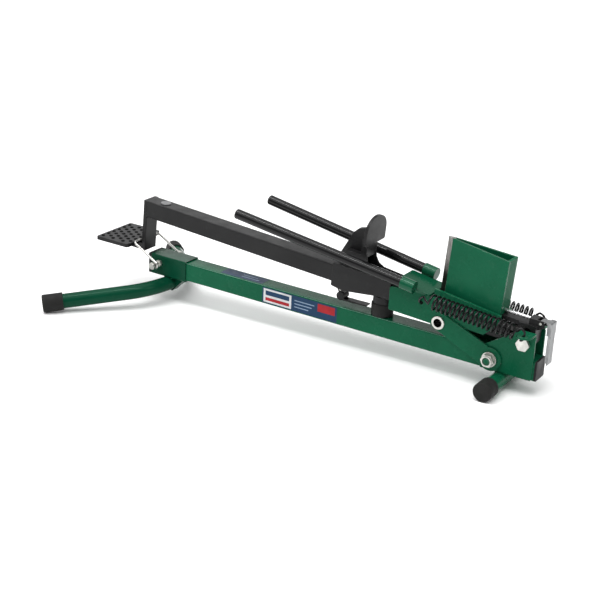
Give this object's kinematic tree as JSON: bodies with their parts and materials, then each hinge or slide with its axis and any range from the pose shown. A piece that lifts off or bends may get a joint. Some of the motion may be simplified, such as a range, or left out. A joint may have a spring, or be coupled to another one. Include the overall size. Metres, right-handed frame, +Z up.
{
  "type": "log splitter",
  "caption": "Foot-operated horizontal log splitter: a pedal lever with log bars, ratchet pusher and fixed wedge over a low base beam on a spread leg.",
  "frame": {"origin": "middle of the footprint, on the floor", "axes": "+X along the beam from the pedal end towards the wedge and pivot end, +Y across towards the far side, +Z up"},
  "size_m": [1.0748, 0.4792, 0.287],
  "materials": {
    "green_paint": "gloss",
    "black_paint": "satin",
    "zinc_steel": "satin",
    "black_rubber": "matte",
    "black_plastic": "matte",
    "grey_plastic": "matte",
    "chromed_rod": "polished",
    "spring_steel": "satin",
    "ground_steel": "ground"
  },
  "bodies": {
    "base": {"base_beam": "green_paint", "beam_end_cap": "black_plastic", "end_sleeve": "green_paint", "sleeve_end_plug": "black_plastic", "latch_bolt": "zinc_steel", "latch_nuts": "zinc_steel", "stabiliser_leg": "green_paint", "leg_feet": "black_rubber", "leg_gusset": "green_paint", "cross_tube": "green_paint", "cross_tube_feet": "black_rubber", "bracket_plate_far": "green_paint", "bracket_plate_near": "green_paint", "pivot_washers": "zinc_steel", "pivot_bolt": "zinc_steel", "pivot_nut": "zinc_steel", "pivot_spacer": "zinc_steel", "anchor_bolt": "zinc_steel", "anchor_nut": "zinc_steel", "anchor_spacers": "zinc_steel", "return_springs": "spring_steel"},
    "draw_bar": {"draw_rack": "black_paint", "draw_fork": "black_paint", "guide_rod": "chromed_rod", "release_pin": "zinc_steel"},
    "release": {"release_plate": "zinc_steel"},
    "pusher": {"pusher_carriage": "black_paint", "pusher_box": "black_paint", "pusher_fin": "black_paint", "push_plate": "black_paint", "pusher_toes": "black_paint", "pawl_cheeks": "black_paint", "pawl_pin": "zinc_steel"},
    "pawl": {"pawl": "black_paint", "pawl_knob": "black_plastic", "pawl_handle": "black_paint"},
    "bail": {"wire_bail": "zinc_steel"},
    "lever": {"arm_button": "grey_plastic", "arm_post": "black_paint", "arm_tube": "black_paint", "bail_lugs": "black_paint", "bar_sockets": "green_paint", "buffer_stem": "black_paint", "channel_walls": "green_paint", "cross_plate": "green_paint", "lever_plate_far": "green_paint", "lever_plate_near": "green_paint", "lock_pin_bush": "zinc_steel", "log_bar_far": "black_paint", "log_bar_near": "black_paint", "pedal_bracket": "black_paint", "pedal_plate": "black_paint", "pivot_bushes": "zinc_steel", "rack_guides": "black_paint", "rubber_buffer": "black_rubber", "wedge_back": "green_paint", "wedge_blade": "ground_steel", "wedge_cheeks": "green_paint"}
  },
  "joints": [
    {"name": "arm_lift", "type": "hinge", "parent": "base", "child": "lever", "pos_m": [0.42661, 0, 0.05976], "axis": [0, 1, 0], "range_deg": [0, 22], "deforming": ["return_springs"]},
    {"name": "draw_slide", "type": "slide", "parent": "lever", "child": "draw_bar", "axis": [0.9953, 0, -0.0964], "range_m": [-0.02392, 0.0005]},
    {"name": "release_hang", "type": "hinge", "parent": "draw_bar", "child": "release", "pos_m": [0.51539, 0, 0.14661], "axis": [0, 1, 0], "range_deg": [-22.5, 0.5]},
    {"name": "pusher_slide", "type": "slide", "parent": "lever", "child": "pusher", "axis": [0.9953, 0, -0.0964], "range_m": [-0.3, 0]},
    {"name": "pawl_trip", "type": "hinge", "parent": "pusher", "child": "pawl", "pos_m": [0.08591, 0, 0.12088], "axis": [0, -1, 0], "range_deg": [0, 10]},
    {"name": "bail_swing", "type": "hinge", "parent": "lever", "child": "bail", "pos_m": [-0.4223, 0, 0.12786], "axis": [0, -1, 0], "range_deg": [0, 100]}
  ],
  "couplings": [
    {"joint": "draw_slide", "follows": "arm_lift", "m_per_rad": -0.061004},
    {"joint": "release_hang", "follows": "arm_lift", "ratio": -1}
  ]
}
